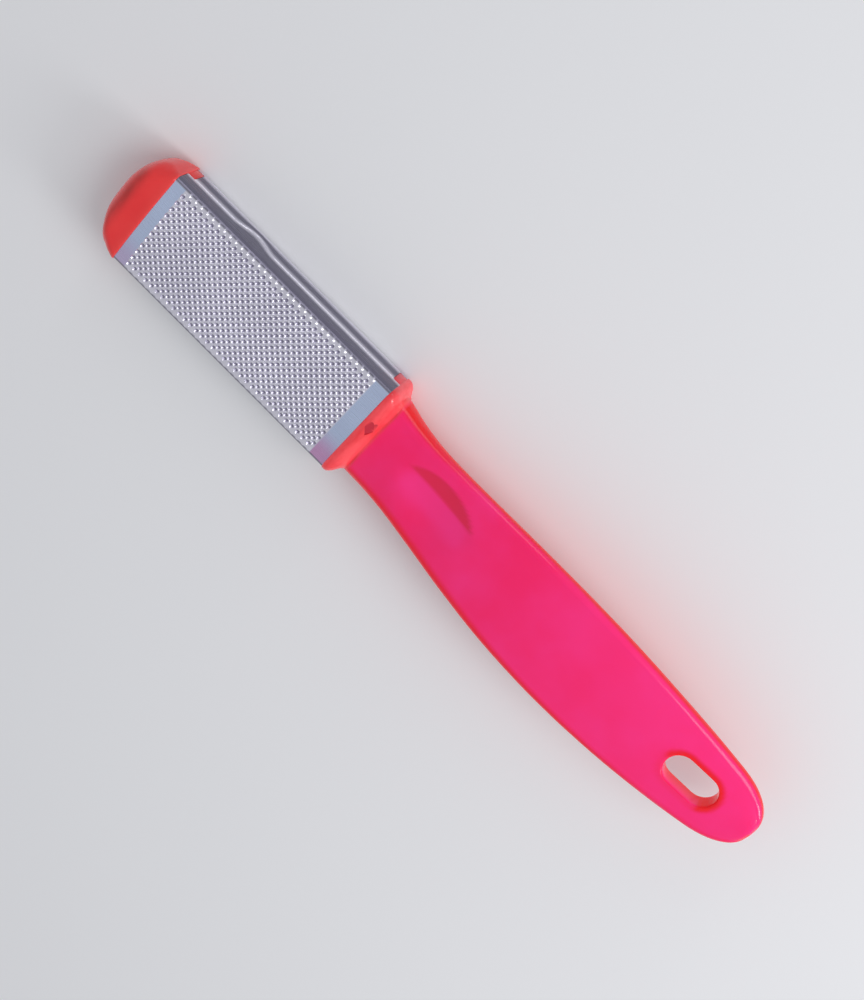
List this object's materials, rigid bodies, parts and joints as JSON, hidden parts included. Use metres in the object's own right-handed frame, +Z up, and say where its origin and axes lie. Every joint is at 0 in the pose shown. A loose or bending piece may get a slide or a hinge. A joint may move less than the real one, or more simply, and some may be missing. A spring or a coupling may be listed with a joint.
{
  "type": "foot rasp",
  "caption": "Two-sided foot rasp: toothed steel plates round a flat head, with a moulded arched handle, a thumb dish and a hanging slot.",
  "frame": {"origin": "on the floor, on the centre line, below the middle of the whole length; the head's rims touch the floor", "axes": "+X from the nose towards the handle's tail, +Y across the head, +Z up, out of the fine side"},
  "size_m": [0.2322, 0.0314, 0.0235],
  "materials": {
    "pink_plastic": "translucent fluorescent pink, glossy",
    "coral_plastic": "the same plastic, seen redder where it is solid and curved",
    "rasp_steel": "bright rolled stainless steel"
  },
  "bodies": {
    "root": {"handle": "pink_plastic", "nose_cap": "coral_plastic", "fine_rasp_plate": "rasp_steel", "coarse_rasp_plate": "rasp_steel"}
  },
  "joints": []
}
